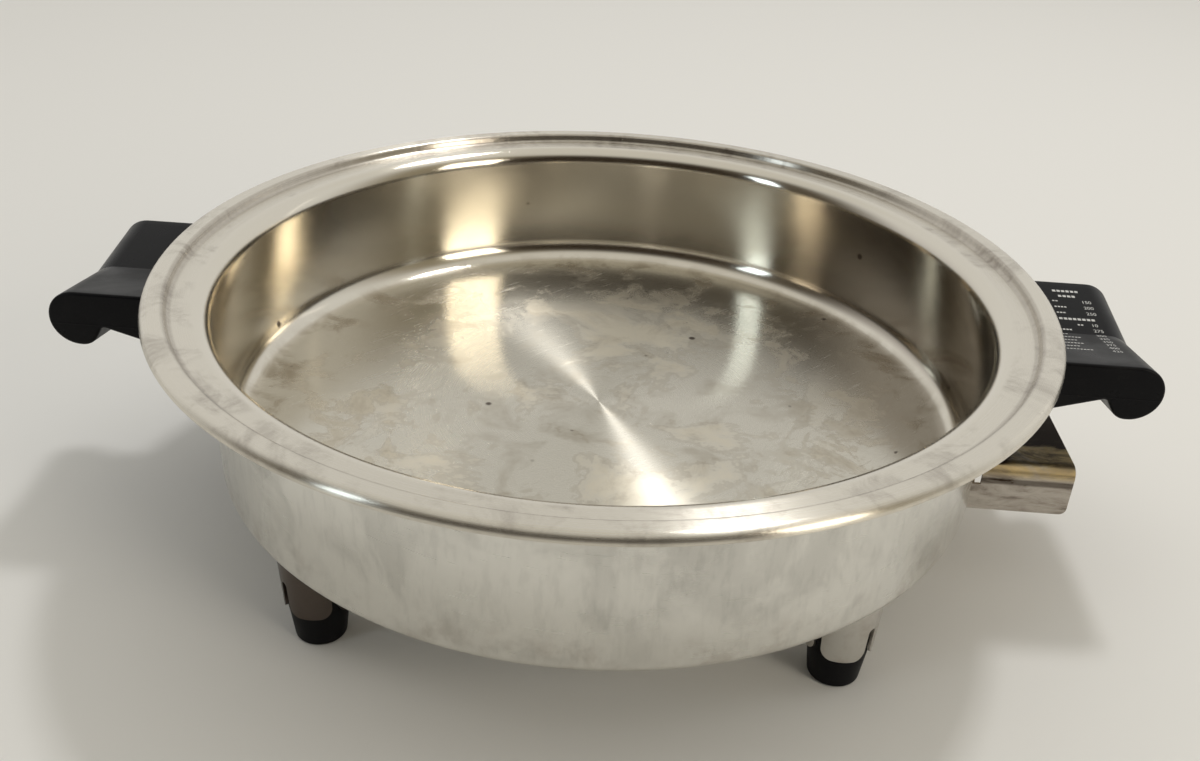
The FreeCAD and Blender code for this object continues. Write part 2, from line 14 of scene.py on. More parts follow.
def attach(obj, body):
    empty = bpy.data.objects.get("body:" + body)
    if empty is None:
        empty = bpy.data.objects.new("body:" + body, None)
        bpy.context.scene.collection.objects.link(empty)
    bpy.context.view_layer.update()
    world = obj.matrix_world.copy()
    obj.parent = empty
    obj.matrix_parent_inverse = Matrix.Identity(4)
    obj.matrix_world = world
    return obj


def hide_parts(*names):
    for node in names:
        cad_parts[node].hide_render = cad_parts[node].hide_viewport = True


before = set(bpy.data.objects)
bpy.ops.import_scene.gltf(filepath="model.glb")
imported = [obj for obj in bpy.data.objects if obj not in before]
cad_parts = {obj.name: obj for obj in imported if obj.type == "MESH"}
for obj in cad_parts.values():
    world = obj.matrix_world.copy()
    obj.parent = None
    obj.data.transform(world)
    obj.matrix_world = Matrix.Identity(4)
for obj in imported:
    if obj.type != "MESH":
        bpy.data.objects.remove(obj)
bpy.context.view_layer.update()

MM = 0.001
# a quarter turn from the default tangent: highlights run across a turned piece's rings
ACROSS_RINGS = 0.25
log = logging.getLogger("skillet")

Colour = tuple[float, float, float]
Point2 = tuple[float, float]
Corner = tuple[float, float, float]


# Shader maths

class Signal:
    """A number that varies over a surface: a node's output socket with arithmetic."""

    def __init__(self, graph: "Graph", socket: bpy.types.NodeSocket) -> None:
        """Wrap a socket.

        Args:
            graph: the graph that the socket belongs to.
            socket: the output socket.
        """
        self.graph = graph
        self.socket = socket

    def _math(self, operation: str, *others: Any) -> "Signal":
        """One Math node with this signal first."""
        return self.graph.math(operation, self, *others)

    def __add__(self, other: Any) -> "Signal":
        """Sum."""
        return self._math("ADD", other)

    def __radd__(self, other: Any) -> "Signal":
        """Sum with a number on the left."""
        return self._math("ADD", other)

    def __sub__(self, other: Any) -> "Signal":
        """Difference."""
        return self._math("SUBTRACT", other)

    def __rsub__(self, other: Any) -> "Signal":
        """Difference from a number on the left."""
        return self.graph.math("SUBTRACT", other, self)

    def __mul__(self, other: Any) -> "Signal":
        """Product."""
        return self._math("MULTIPLY", other)

    def __neg__(self) -> "Signal":
        """Negative."""
        return self._math("MULTIPLY", -1.0)

    def __pow__(self, other: Any) -> "Signal":
        """Power."""
        return self._math("POWER", other)

    def __abs__(self) -> "Signal":
        """Size without sign."""
        return self._math("ABSOLUTE")

    def rises(self, low: float, high: float) -> "Signal":
        """Smoothly from 0 at low to 1 at high."""
        return self.graph.ramp(self, low, high, 0.0, 1.0)

    def falls(self, low: float, high: float) -> "Signal":
        """Smoothly from 1 at low to 0 at high."""
        return self.graph.ramp(self, low, high, 1.0, 0.0)

    def band(self, middle: float, half: float) -> "Signal":
        """1 at the middle and 0 outside half to either side."""
        return abs(self - middle).falls(half * 0.4, half)

    def most(self, other: Any) -> "Signal":
        """The larger of two."""
        return self._math("MAXIMUM", other)

    def least(self, other: Any) -> "Signal":
        """The smaller of two."""
        return self._math("MINIMUM", other)

    def clipped(self) -> "Signal":
        """Kept between 0 and 1."""
        return self.most(0.0).least(1.0)


class Graph:
    """A material's node tree, built through one method for every node."""

    def __init__(self, name: str) -> None:
        """Start an empty material.

        Args:
            name: the material's name.
        """
        self.material = bpy.data.materials.new(name)
        self.material.use_nodes = True
        self.tree = self.material.node_tree
        self.tree.nodes.clear()

    @classmethod
    def over(cls, tree: bpy.types.NodeTree) -> "Graph":
        """Take over an existing node tree, such as the world's, and clear it."""
        graph = cls.__new__(cls)
        graph.tree = tree
        tree.nodes.clear()
        return graph

    def node(self, kind: str, settings: dict[str, Any] | None = None,
             inputs: dict[Any, Any] | None = None) -> bpy.types.Node:
        """Add a node.

        Args:
            kind: the node's type.
            settings: its properties.
            inputs: values or signals for its sockets, by name or number.

        Returns:
            The node.
        """
        made = self.tree.nodes.new(kind)
        for key, value in (settings or {}).items():
            setattr(made, key, value)
        for key, value in (inputs or {}).items():
            target = made.inputs[key]
            if isinstance(value, Signal):
                self.tree.links.new(value.socket, target)
            elif isinstance(value, bpy.types.NodeSocket):
                self.tree.links.new(value, target)
            elif isinstance(value, tuple) and target.type == "RGBA":
                target.default_value = (*value[:3], 1.0)
            else:
                target.default_value = value
        return made

    def math(self, operation: str, *values: Any) -> Signal:
        """A Math node over numbers and signals."""
        made = self.node("ShaderNodeMath", {"operation": operation}, dict(enumerate(values)))
        return Signal(self, made.outputs[0])

    def ramp(self, value: Signal, low: float, high: float, start: float, end: float) -> Signal:
        """A smooth step between two levels."""
        made = self.node("ShaderNodeMapRange", {"interpolation_type": "SMOOTHSTEP"},
                         {"Value": value, "From Min": low, "From Max": high, "To Min": start,
                          "To Max": end})
        return Signal(self, made.outputs[0])

    def split(self, coordinate: str) -> tuple[Signal, Signal, Signal]:
        """The three parts of one of Blender's texture coordinates."""
        source = self.node("ShaderNodeTexCoord").outputs[coordinate]
        parts = self.node("ShaderNodeSeparateXYZ", None, {0: source})
        x, y, z = (Signal(self, output) for output in parts.outputs)
        return x, y, z

    def place(self) -> tuple[Signal, Signal, Signal]:
        """Where on the object the surface is, in millimetres."""
        x, y, z = (part * (1 / MM) for part in self.split("Object"))
        return x, y, z

    def polar(self, x: Signal, y: Signal) -> tuple[Signal, Signal]:
        """The distance from the upright axis and the angle round it."""
        return (x * x + y * y) ** 0.5, self.math("ARCTAN2", y, x)

    def vector(self, x: Any, y: Any, z: Any) -> bpy.types.NodeSocket:
        """Three signals as one vector."""
        return self.node("ShaderNodeCombineXYZ", None, {0: x, 1: y, 2: z}).outputs[0]

    def metres(self, x: Signal, y: Signal, z: Signal) -> bpy.types.NodeSocket:
        """A place in millimetres as a vector in metres."""
        return self.vector(x * MM, y * MM, z * MM)

    def noise(self, vector: bpy.types.NodeSocket, scale: float, detail: float = 3.0,
              roughness: float = 0.55, distortion: float = 0.0) -> Signal:
        """Cloudy noise from 0 to 1."""
        made = self.node("ShaderNodeTexNoise", {"noise_dimensions": "3D"},
                         {"Vector": vector, "Scale": scale, "Detail": detail,
                          "Roughness": roughness, "Distortion": distortion})
        return Signal(self, made.outputs[0])

    def specks(self, vector: bpy.types.NodeSocket, scale: float, size: float) -> Signal:
        """Scattered small round specks, 1 inside them."""
        made = self.node("ShaderNodeTexVoronoi", {"feature": "F1"},
                         {"Vector": vector, "Scale": scale, "Randomness": 1.0})
        return Signal(self, made.outputs["Distance"]).falls(size * 0.5, size)

    def blend(self, factor: Any, low: Any, high: Any) -> bpy.types.NodeSocket:
        """Mix two colours."""
        made = self.node("ShaderNodeMix", {"data_type": "RGBA"},
                         {"Factor": factor, 6: low, 7: high})
        return made.outputs[2]

    def bump(self, height: Signal, distance: float, strength: float = 1.0) -> bpy.types.NodeSocket:
        """A normal from a height in millimetres."""
        made = self.node("ShaderNodeBump", None,
                         {"Height": height, "Distance": distance * MM, "Strength": strength})
        return made.outputs[0]

    def surface(self, **inputs: Any) -> bpy.types.Material:
        """Finish with one Principled shader; two underscores in a name stand for a space."""
        names = {key.replace("__", " "): value for key, value in inputs.items()}
        shader = self.node("ShaderNodeBsdfPrincipled", None, names)
        self.node("ShaderNodeOutputMaterial", None, {"Surface": shader.outputs[0]})
        return self.material


# Finishes

@dataclass(frozen=True)
class PanSteel:
    """Turned stainless inside the pan, worn and stained by cooking."""

    colour: Colour = (0.69, 0.65, 0.57)
    bare: Colour = (0.50, 0.485, 0.42)
    stain: Colour = (0.36, 0.31, 0.235)
    film: Colour = (0.70, 0.64, 0.50)
    # tarnish on the ledge, and painted dark reflection in the rim's step and on the right of the
    # inner wall
    tarnish_and_painted_reflection: Colour = (0.27, 0.235, 0.20)
    pit: Colour = (0.07, 0.05, 0.04)
    floor_radius: float = 131.0
    wall_radius: float = 139.0
    ledge_inner: float = 145.5
    ledge_outer: float = 152.6
    ledge_height: float = 97.0

    def build(self) -> bpy.types.Material:
        """Make the material."""
        g = Graph("pan_steel")
        x, y, z = g.place()
        radius, angle = g.polar(x, y)
        floor = radius.falls(self.floor_radius - 2.0, self.floor_radius + 4.0) * z.falls(50.0, 54.0)
        raised = z.rises(self.ledge_height, self.ledge_height + 0.8)
        ledge = radius.rises(self.ledge_inner - 1.0, self.ledge_inner + 1.0) * raised
        near_wall = radius.band(100.0, 34.0)
        rings = g.noise(g.vector(radius * 5.0, angle * 0.9, z * 5.0), 1.0, 4.0, 0.7)
        fine = g.noise(g.vector(radius * 16.0, angle * 3.0, z * 16.0), 1.0, 2.0, 0.6)
        spot = g.metres(x, y, z)
        cloud = g.noise(spot, 19.0, 8.0, 0.68, 0.4)
        blotch = g.noise(spot, 46.0, 7.0, 0.66, 0.5)
        # the cooked-on film lies round the middle and in a broken ring near the wall
        inner = cloud.rises(0.49, 0.62) * radius.falls(60.0, 118.0)
        outer = blotch.rises(0.50, 0.62) * near_wall
        film = (inner + outer * 0.8).clipped() * floor
        tide = (cloud.band(0.525, 0.022) * radius.falls(70.0, 120.0)
                + blotch.band(0.545, 0.02) * near_wall).clipped() * floor
        edge = blotch.rises(0.44, 0.60) * radius.band(128.0, 10.0) * z.falls(54.0, 66.0)
        worn = (tide * 0.22 + edge * 0.55 + floor * blotch.rises(0.47, 0.7) * 0.45).clipped()
        pits = g.specks(spot, 42.0, 0.075) * blotch.rises(0.44, 0.48)
        chips = g.specks(spot, 95.0, 0.09) * blotch.rises(0.56, 0.60) * floor
        streaks = g.noise(g.vector(angle * 95.0, radius * 0.16, z * 0.16), 1.0, 4.0, 0.6)
        rubbed = g.noise(g.vector(x * 0.05 + y * 0.05, x * 0.9 - y * 0.9, z * 0.4), 1.0, 2.0,
                         0.5).rises(0.66, 0.70) * floor
        # painted dark reflection along the rim's step
        painted_step_reflection = radius.band(self.ledge_outer + 0.9, 2.0) * raised
        tarnish = blotch.rises(0.48, 0.66) * ledge
        # painted dark reflection: the inner wall is darkened at the right
        shade = (x.rises(62.0, 96.0) * radius.rises(self.wall_radius - 3.0, self.wall_radius)
                 * z.falls(self.ledge_height - 7.0, self.ledge_height))
        tone = g.blend(film * 0.5, self.colour, self.film)
        tone = g.blend(shade * 0.8, tone, self.tarnish_and_painted_reflection)
        tone = g.blend(floor * (1.0 - film) * 0.45, tone, self.bare)
        tone = g.blend(worn, tone, self.stain)
        # the ledge's tarnish, and the painted dark reflection in the rim's step
        tone = g.blend((tarnish * streaks * 0.7 + painted_step_reflection * (0.25 + streaks * 0.35)).clipped(),
                       tone, self.tarnish_and_painted_reflection)
        tone = g.blend((pits * 0.9 + chips * 0.5).clipped(), tone, self.pit)
        # the floor is roughest round its middle
        rough = (0.10 + rings * 0.05 + floor * (0.04 + radius.falls(70.0, 118.0) * 0.09)
                 + worn * 0.10 + film * 0.07 + ledge * 0.12 + fine * 0.04 + rubbed * 0.08)
        height = (rings * 0.5 + fine * 0.35 - pits * 1.5 - chips + streaks * ledge * 0.5
                  - rubbed * 0.5 + film * 0.4)
        return g.surface(Base__Color=tone, Metallic=1.0, Roughness=rough, Anisotropic=0.94,
                         Anisotropic__Rotation=ACROSS_RINGS, Normal=g.bump(height, 0.012, 0.6))


@dataclass(frozen=True)
class WallSteel:
    """Polished stainless on the outside, with fine rings, handling marks and soft upright bands of
    painted reflection; pieces on the left can be darkened by painted shade.
    """

    name: str
    colour: Colour = (0.77, 0.755, 0.705)
    # darker grey for mottling, brushing and the painted reflection bands
    dull_and_painted_reflection: Colour = (0.45, 0.44, 0.41)
    # browner tone towards the bottom
    lower_tone: Colour = (0.33, 0.27, 0.22)
    # tone of the painted shade on pieces to the left
    painted_shade_tone: Colour = (0.06, 0.04, 0.03)
    pit: Colour = (0.12, 0.09, 0.07)
    roughness: float = 0.15
    ring_scale: float = 6.0
    # share of that painted shade, 0 for none
    painted_left_shade: float = 0.0

    def build(self) -> bpy.types.Material:
        """Make the material."""
        g = Graph(self.name)
        x, y, z = g.place()
        radius, angle = g.polar(x, y)
        rings = g.noise(g.vector(z * self.ring_scale, angle * 1.4, radius * self.ring_scale),
                        1.0, 4.0, 0.7)
        spot = g.metres(x, y, z)
        smear = g.noise(spot, 14.0, 4.0, 0.6, 0.8)
        mottle = g.noise(spot, 90.0, 4.0, 0.65)
        # marks that follow the angle belong on the wall: on the bottom they would fan out
        upright = z.rises(37.0, 42.0)
        scratches = g.noise(g.vector(angle * 9.0, z * 1.4 + angle * 14.0, radius * 0.3), 1.0, 2.0,
                            0.5).rises(0.68, 0.72) * upright
        pits = g.specks(spot, 40.0, 0.07) * smear.rises(0.5, 0.55)
        foot_line = z.band(43.0, 0.5)
        # painted reflection: soft upright bands of darker tone, as of folds mirrored in the wall
        painted_fold_reflection = g.noise(g.vector(angle * 5.5, z * 0.03, radius * 0.01), 1.0, 3.0, 0.55, 0.9)
        brushed = g.noise(g.vector(angle * 46.0, z * 0.09, radius * 0.01), 1.0, 4.0, 0.65)
        # browner and darker towards the bottom
        lower_tone = mottle.rises(0.45, 0.75) * z.falls(40.0, 56.0) * 0.4
        tone = g.blend(smear.rises(0.35, 0.75) * 0.2 + mottle * 0.1
                       + painted_fold_reflection.rises(0.45, 0.62) * upright * 0.36
                       + brushed.rises(0.45, 0.7) * upright * 0.2, self.colour, self.dull_and_painted_reflection)
        tone = g.blend(lower_tone, tone, self.lower_tone)
        if self.painted_left_shade:
            # painted shade: the pieces on the left are darkened
            tone = g.blend(x.falls(-60.0, 20.0) * self.painted_left_shade, tone, self.painted_shade_tone)
        tone = g.blend(pits * 0.8, tone, self.pit)
        rough = (self.roughness + rings * 0.08 + smear.rises(0.4, 0.7) * 0.08 + mottle * 0.05
                 + scratches * 0.12)
        height = rings * 0.5 + mottle * 0.15 - scratches * 0.5 - pits * 1.2 - foot_line * 1.5
        return g.surface(Base__Color=tone, Metallic=1.0, Roughness=rough, Anisotropic=0.45,
                         Anisotropic__Rotation=ACROSS_RINGS, Normal=g.bump(height, 0.012, 0.5))


@dataclass(frozen=True)
class TintedSteel:
    """Stainless sheet that heat has tinted brown and gold towards the wall; its top is darkened by
    painted shade near the wall and under the handle.
    """

    name: str = "guard_steel"
    colour: Colour = (0.50, 0.46, 0.41)
    gold: Colour = (0.66, 0.50, 0.22)
    # near-black tone of the painted shade on the top, the band under the bend and grime
    brown: Colour = (0.045, 0.030, 0.020)
    grime: Colour = (0.24, 0.20, 0.165)
    below_bend: float = 45.9
    bend_start: float = 46.5
    top_face: float = 51.6

    def build(self) -> bpy.types.Material:
        """Make the material."""
        g = Graph(self.name)
        x, y, z = g.place()
        spot = g.metres(x, y, z)
        cloud = g.noise(spot, 55.0, 5.0, 0.65, 0.7)
        fine = g.noise(g.vector(x * 0.6, y * 9.0, z * 9.0), 1.0, 3.0, 0.6)
        scratch = g.noise(g.vector(x * 0.35, y * 3.0, z * 6.0), 1.0, 2.0, 0.5).rises(0.64, 0.68)
        grime = g.noise(g.vector(x * 0.0004, y * 0.0011, z * 0.0016), 130.0, 6.0, 0.68, 0.5)
        under = z.band(self.below_bend, 1.7)
        top = z.rises(self.top_face, self.top_face + 0.7)
        bend = z.rises(self.bend_start, self.bend_start + 3.5)
        gold = bend * cloud.rises(0.25, 0.55)
        # painted shade: the top is darkened near the wall and under the handle
        painted_top_shade = top * (x.falls(146.0, 156.0) + (y + grime * 9.0).rises(-22.0, -15.0)).clipped()
        # near-black tone: the painted shade on the top, a dark band under the bend, and grime
        brown = (painted_top_shade * 0.98 + top * grime.rises(0.42, 0.6) * 0.55 + under * 0.65
                 + grime.rises(0.56, 0.7) * (1.0 - bend) * 0.45).clipped()
        tone = g.blend(gold * 0.85, self.colour, self.gold)
        tone = g.blend(grime.rises(0.40, 0.66) * 0.6, tone, self.grime)
        tone = g.blend(brown, tone, self.brown)
        rough = 0.24 + cloud * 0.14 + fine * 0.08 + brown * 0.15 + grime * 0.1 - scratch * 0.05
        height = fine * 0.6 + cloud * 0.4 + grime * 0.5 - scratch * 0.8
        return g.surface(Base__Color=tone, Metallic=1.0, Roughness=rough, Anisotropic=0.3,
                         Normal=g.bump(height, 0.02, 0.7))


@dataclass(frozen=True)
class PlainMetal:
    """A small metal piece: cast, plated or heat-darkened."""

    name: str
    colour: Colour
    dirt: Colour
    roughness: float = 0.3
    grain: float = 220.0
    dirt_share: float = 0.4
    relief: float = 0.02

    def build(self) -> bpy.types.Material:
        """Make the material."""
        g = Graph(self.name)
        x, y, z = g.place()
        spot = g.metres(x, y, z)
        cloud = g.noise(spot, self.grain, 5.0, 0.65)
        broad = g.noise(spot, self.grain * 0.25, 3.0, 0.6)
        tone = g.blend(broad.rises(0.4, 0.75) * self.dirt_share, self.colour, self.dirt)
        rough = self.roughness + cloud * 0.12 + broad * 0.08
        return g.surface(Base__Color=tone, Metallic=1.0, Roughness=rough,
                         Normal=g.bump(cloud, self.relief, 0.7))


@dataclass(frozen=True)
class Phenolic:
    """Black moulded phenolic with a satin gloss, faint dust and handling wear."""

    name: str
    colour: Colour = (0.005, 0.005, 0.006)
    dust: Colour = (0.07, 0.066, 0.06)
    roughness: float = 0.24
    mould_line: float | None = None

    def build(self) -> bpy.types.Material:
        """Make the material."""
        g = Graph(self.name)
        x, y, z = g.place()
        spot = g.metres(x, y, z)
        cloud = g.noise(spot, 45.0, 5.0, 0.6, 0.5)
        pores = g.noise(spot, 900.0, 3.0, 0.6)
        specks = g.specks(spot, 260.0, 0.10) * cloud.rises(0.55, 0.62)
        dusty = cloud.rises(0.5, 0.8) * 0.10 + pores.rises(0.5, 0.7) * 0.04 + specks * 0.5
        tone = g.blend(dusty.clipped(), self.colour, self.dust)
        rough = self.roughness + cloud.rises(0.35, 0.75) * 0.16 + pores * 0.06
        height = pores * 0.35 + cloud * 0.6
        if self.mould_line is not None:
            # the mould's parting line shows on the two end faces
            height = height + z.band(self.mould_line, 0.35) * abs(y).rises(33.0, 34.0) * 3.0
        return g.surface(Base__Color=tone, Roughness=rough, IOR=1.5, Specular__IOR__Level=0.09,
                         Normal=g.bump(height, 0.03, 0.55))


@dataclass(frozen=True)
class Printed:
    """White ink printed on the handle, a little rubbed."""

    name: str = "handle_print"
    ink: Colour = (0.58, 0.58, 0.57)
    faded: Colour = (0.20, 0.20, 0.20)

    def build(self) -> bpy.types.Material:
        """Make the material."""
        g = Graph(self.name)
        x, y, z = g.place()
        spot = g.metres(x, y, z)
        rub = g.noise(spot, 420.0, 4.0, 0.65)
        tone = g.blend(rub.rises(0.5, 0.75) * 0.5, self.ink, self.faded)
        return g.surface(Base__Color=tone, Roughness=0.45 + rub * 0.15,
                         Normal=g.bump(rub, 0.01, 0.4))


@dataclass(frozen=True)
class Ceramic:
    """Unglazed ceramic of the terminal bushes."""

    name: str = "ceramic"
    colour: Colour = (0.78, 0.75, 0.68)
    stain: Colour = (0.45, 0.38, 0.30)

    def build(self) -> bpy.types.Material:
        """Make the material."""
        g = Graph(self.name)
        x, y, z = g.place()
        spot = g.metres(x, y, z)
        grain = g.noise(spot, 700.0, 4.0, 0.6)
        tone = g.blend(grain.rises(0.4, 0.8) * 0.5, self.colour, self.stain)
        return g.surface(Base__Color=tone, Roughness=0.55 + grain * 0.2,
                         Normal=g.bump(grain, 0.02, 0.6))


# Mesh work

def sampled(corners: Sequence[Corner], step: float = 7.0) -> list[Point2]:
    """Turn (across, up, round) corners into a smooth outline.

    Args:
        corners: the outline's corners in order; it is taken as closed.
        step: the most degrees that an arc turns between two points.

    Returns:
        The outline's points, in millimetres.
    """
    points: list[Point2] = []
    for index, (across, up, radius) in enumerate(corners):
        here = Vector((across, up))
        if radius <= 0:
            points.append((across, up))
            continue
        back = (Vector(corners[index - 1][:2]) - here).normalized()
        ahead = (Vector(corners[(index + 1) % len(corners)][:2]) - here).normalized()
        half = back.angle(ahead) / 2
        middle = here + (back + ahead).normalized() * (radius / math.sin(half))
        start = here + back * (radius / math.tan(half)) - middle
        end = here + ahead * (radius / math.tan(half)) - middle
        turn = start.angle_signed(end)
        count = max(2, math.ceil(math.degrees(abs(turn)) / step))
        for part in range(count + 1):
            spun = Matrix.Rotation(-turn * part / count, 2) @ start
            points.append((middle.x + spun.x, middle.y + spun.y))
    return points


def shown(name: str, vertices: Iterable[Sequence[float]], faces: Iterable[Sequence[int]],
          material: bpy.types.Material, sharp: float = 30.0, scale: float = MM) -> bpy.types.Object:
    """Make a mesh object with smooth faces and sharp edges past an angle.

    Args:
        name: the object's name.
        vertices: points, in millimetres by default.
        faces: lists of point numbers.
        material: the finish.
        sharp: the angle between faces, in degrees, past which an edge is sharp.
        scale: the size of a unit in metres.

    Returns:
        The object, linked to the scene.
    """
    mesh = bpy.data.meshes.new(name)
    mesh.from_pydata([Vector(vertex) * scale for vertex in vertices], [],
                     [list(face) for face in faces])
    mesh.validate()
    tidy = bmesh.new()
    tidy.from_mesh(mesh)
    bmesh.ops.remove_doubles(tidy, verts=tidy.verts, dist=1e-6)
    bmesh.ops.recalc_face_normals(tidy, faces=tidy.faces)
    tidy.to_mesh(mesh)
    tidy.free()
    mesh.materials.append(material)
    made = bpy.data.objects.new(name, mesh)
    bpy.context.collection.objects.link(made)
    smooth(made, sharp)
    return made


def smooth(made: bpy.types.Object, sharp: float = 30.0) -> None:
    """Shade an object smooth, with sharp edges past an angle in degrees."""
    for polygon in made.data.polygons:
        polygon.use_smooth = True
    made.data.set_sharp_from_angle(angle=math.radians(sharp))


def turned(name: str, outline: Sequence[Point2], material: bpy.types.Material,
           segments: int = 192) -> bpy.types.Object:
    """Turn a closed outline of (radius, height) round the upright axis."""
    count = len(outline)
    vertices = [(radius * math.cos(2 * math.pi * turn / segments),
                 radius * math.sin(2 * math.pi * turn / segments), height)
                for turn in range(segments) for radius, height in outline]
    faces = [(turn * count + row, ((turn + 1) % segments) * count + row,
              ((turn + 1) % segments) * count + (row + 1) % count, turn * count + (row + 1) % count)
             for turn in range(segments) for row in range(count)
             if outline[row][0] > 0 or outline[(row + 1) % count][0] > 0]
    return shown(name, vertices, faces, material, 35.0)


def applied(made: bpy.types.Object) -> bpy.types.Object:
    """Turn an object with modifiers into a plain mesh of the same name."""
    depsgraph = bpy.context.evaluated_depsgraph_get()
    mesh = bpy.data.meshes.new_from_object(made.evaluated_get(depsgraph))
    made.modifiers.clear()
    old = made.data
    made.data = mesh
    mesh.name = made.name
    bpy.data.meshes.remove(old)
    return made


def settled(made: bpy.types.Object, slot: str, *nodes: str) -> bpy.types.Object:
    """Let a piece ride on the object and stand for its solids, which are hidden."""
    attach(made, "root")
    if nodes:
        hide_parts(*nodes)
    log.info("%s: %d faces", made.name, len(made.data.polygons))
    return made


def dressed(node: str, material: bpy.types.Material) -> None:
    """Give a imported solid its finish."""
    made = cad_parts[node]
    made.data.materials.clear()
    made.data.materials.append(material)
    log.info("%s: packed solid, dressed", node)


# Sub-assemblies

@dataclass
class Vessel:
    """The drawn pan and the cup round it, in millimetres."""

    rim_top: float = 101.5
    rim_radius: float = 162.0
    flange_width: float = 8.2
    ledge_drop: float = 3.2
    lip_drop: float = 3.2
    lip_straight: float = 0.2
    lip_edge: float = 0.3
    step_curve: float = 1.6
    step_foot: float = 0.7
    step_head: float = 0.5
    # how much of the sheet's thickness the step's corners move by on its other side
    step_mitre: float = 0.69
    shoulder: float = 6.5
    mouth: float = 139.7
    cook_depth: float = 57.0
    floor_corner: float = 9.5
    sheet: float = 1.0
    shell_radius: float = 142.0
    shell_bottom: float = 36.0
    shell_corner: float = 3.5
    # how far the shell's edge reaches up beside the pan's shoulder
    shell_reach: float = 1.0
    segments: int = 256

    def build(self) -> None:
        """Make the pan and its outer shell."""
        floor = self.rim_top - self.cook_depth
        ledge = self.rim_top - self.ledge_drop
        flange = self.rim_radius - self.flange_width
        foot, head = flange - self.step_foot, flange + self.step_head
        rim, rim_end = self.rim_radius, self.rim_top - self.lip_drop
        lip = self.lip_drop - self.lip_straight
        t = self.sheet
        mitre = self.step_mitre * t
        pan = sampled([
            (0, floor, 0), (self.mouth, floor, self.floor_corner),
            (self.mouth, ledge, self.shoulder),
            (foot, ledge, self.step_curve), (head, self.rim_top, self.step_curve),
            (rim, self.rim_top, lip), (rim, rim_end, self.lip_edge),
            (rim - t, rim_end, self.lip_edge), (rim - t, self.rim_top - t, lip - t),
            (head + mitre, self.rim_top - t, self.step_curve - t),
            (foot + mitre, ledge - t, self.step_curve + t),
            (self.mouth + t, ledge - t, self.shoulder - t),
            (self.mouth + t, floor - t, self.floor_corner + t), (0, floor - t, 0)])
        settled(turned("pan", pan, PanSteel().build(), self.segments), "pan_steel", "cooking_pan")
        top = ledge - self.shoulder + self.shell_reach
        inner = self.shell_radius - t
        shell = sampled([
            (0, self.shell_bottom, 0), (self.shell_radius, self.shell_bottom, self.shell_corner),
            (self.shell_radius, top, 0), (inner, top, 0),
            (inner, self.shell_bottom + t, self.shell_corner - t), (0, self.shell_bottom + t, 0)])
        settled(turned("shell", shell, WallSteel("shell_steel").build(), self.segments),
                "shell_steel", "outer_shell")


class Side(Enum):
    """Which end of the object a handle is on."""

    RIGHT = 1
    LEFT = -1


